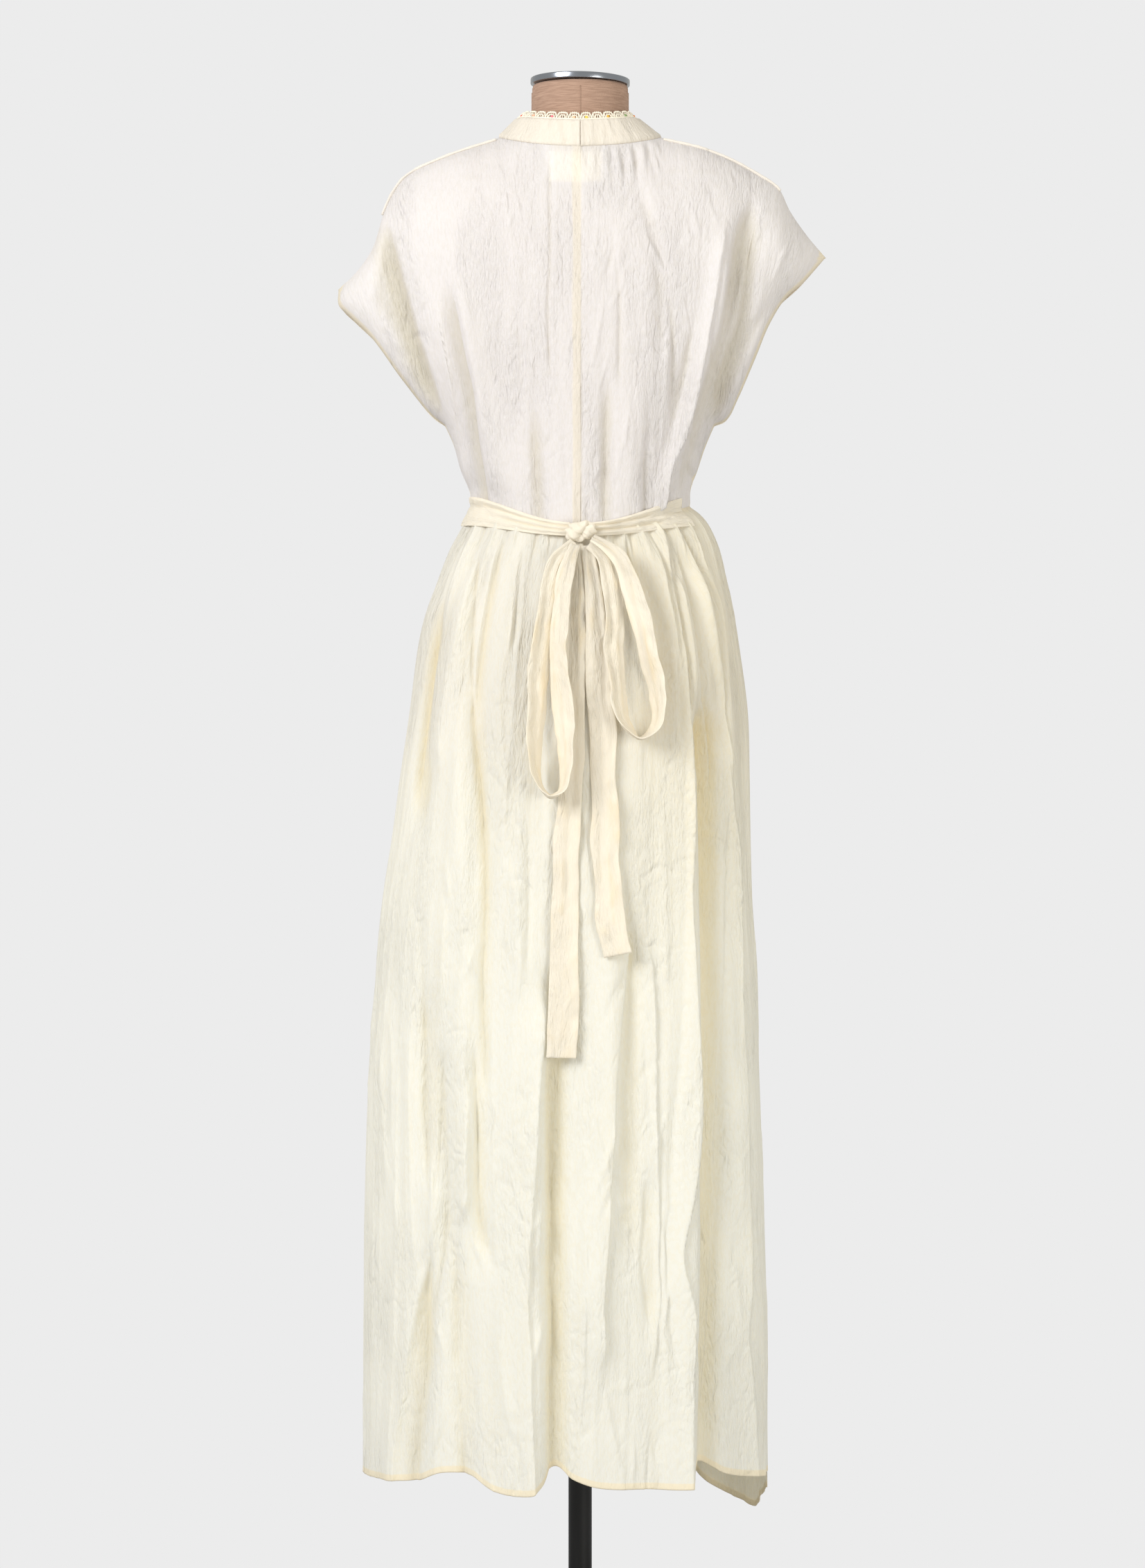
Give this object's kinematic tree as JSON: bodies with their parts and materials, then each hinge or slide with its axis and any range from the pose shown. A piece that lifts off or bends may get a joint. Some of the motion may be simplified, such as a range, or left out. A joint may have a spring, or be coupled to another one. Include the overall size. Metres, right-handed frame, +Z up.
{
  "type": "maxi dress on dress form",
  "caption": "Long crinkled cotton dress with cap sleeves, a gathered skirt and a bow tied at the back, on a limbless dress form with a pole and round base.",
  "frame": {"origin": "on the floor, at the middle of the base's underside, under the pole", "axes": "+Z up, the back of the dress faces -Y and its front +Y, +X is the wearer's right"},
  "size_m": [0.5202, 0.34, 1.6543],
  "materials": {
    "cotton": "crinkled cream cotton gauze",
    "sash_cotton": "doubled cream cotton gauze",
    "crochet": "cream crochet edging with small coloured beads",
    "label_satin": "blank woven label",
    "linen": "plain beige-brown linen cover",
    "chrome": "polished",
    "black_steel": "satin black"
  },
  "bodies": {
    "root": {"form_base": "black_steel", "form_pole": "black_steel", "form_body": "linen", "form_cap": "chrome", "skirt_back": "cotton", "skirt_front": "cotton", "bodice_back_left": "cotton", "bodice_back_right": "cotton", "bodice_front": "cotton", "neckband_left": "cotton", "neckband_right": "cotton", "neck_trim_left": "crochet", "neck_trim_right": "crochet", "neck_label": "label_satin", "shoulder_seam_left": "cotton", "shoulder_seam_right": "cotton", "sash_left": "sash_cotton", "sash_right": "sash_cotton", "sash_knot": "sash_cotton", "bow_loop_left": "sash_cotton", "bow_loop_right": "sash_cotton", "sash_tail_left": "sash_cotton", "sash_tail_right": "sash_cotton"}
  },
  "joints": []
}
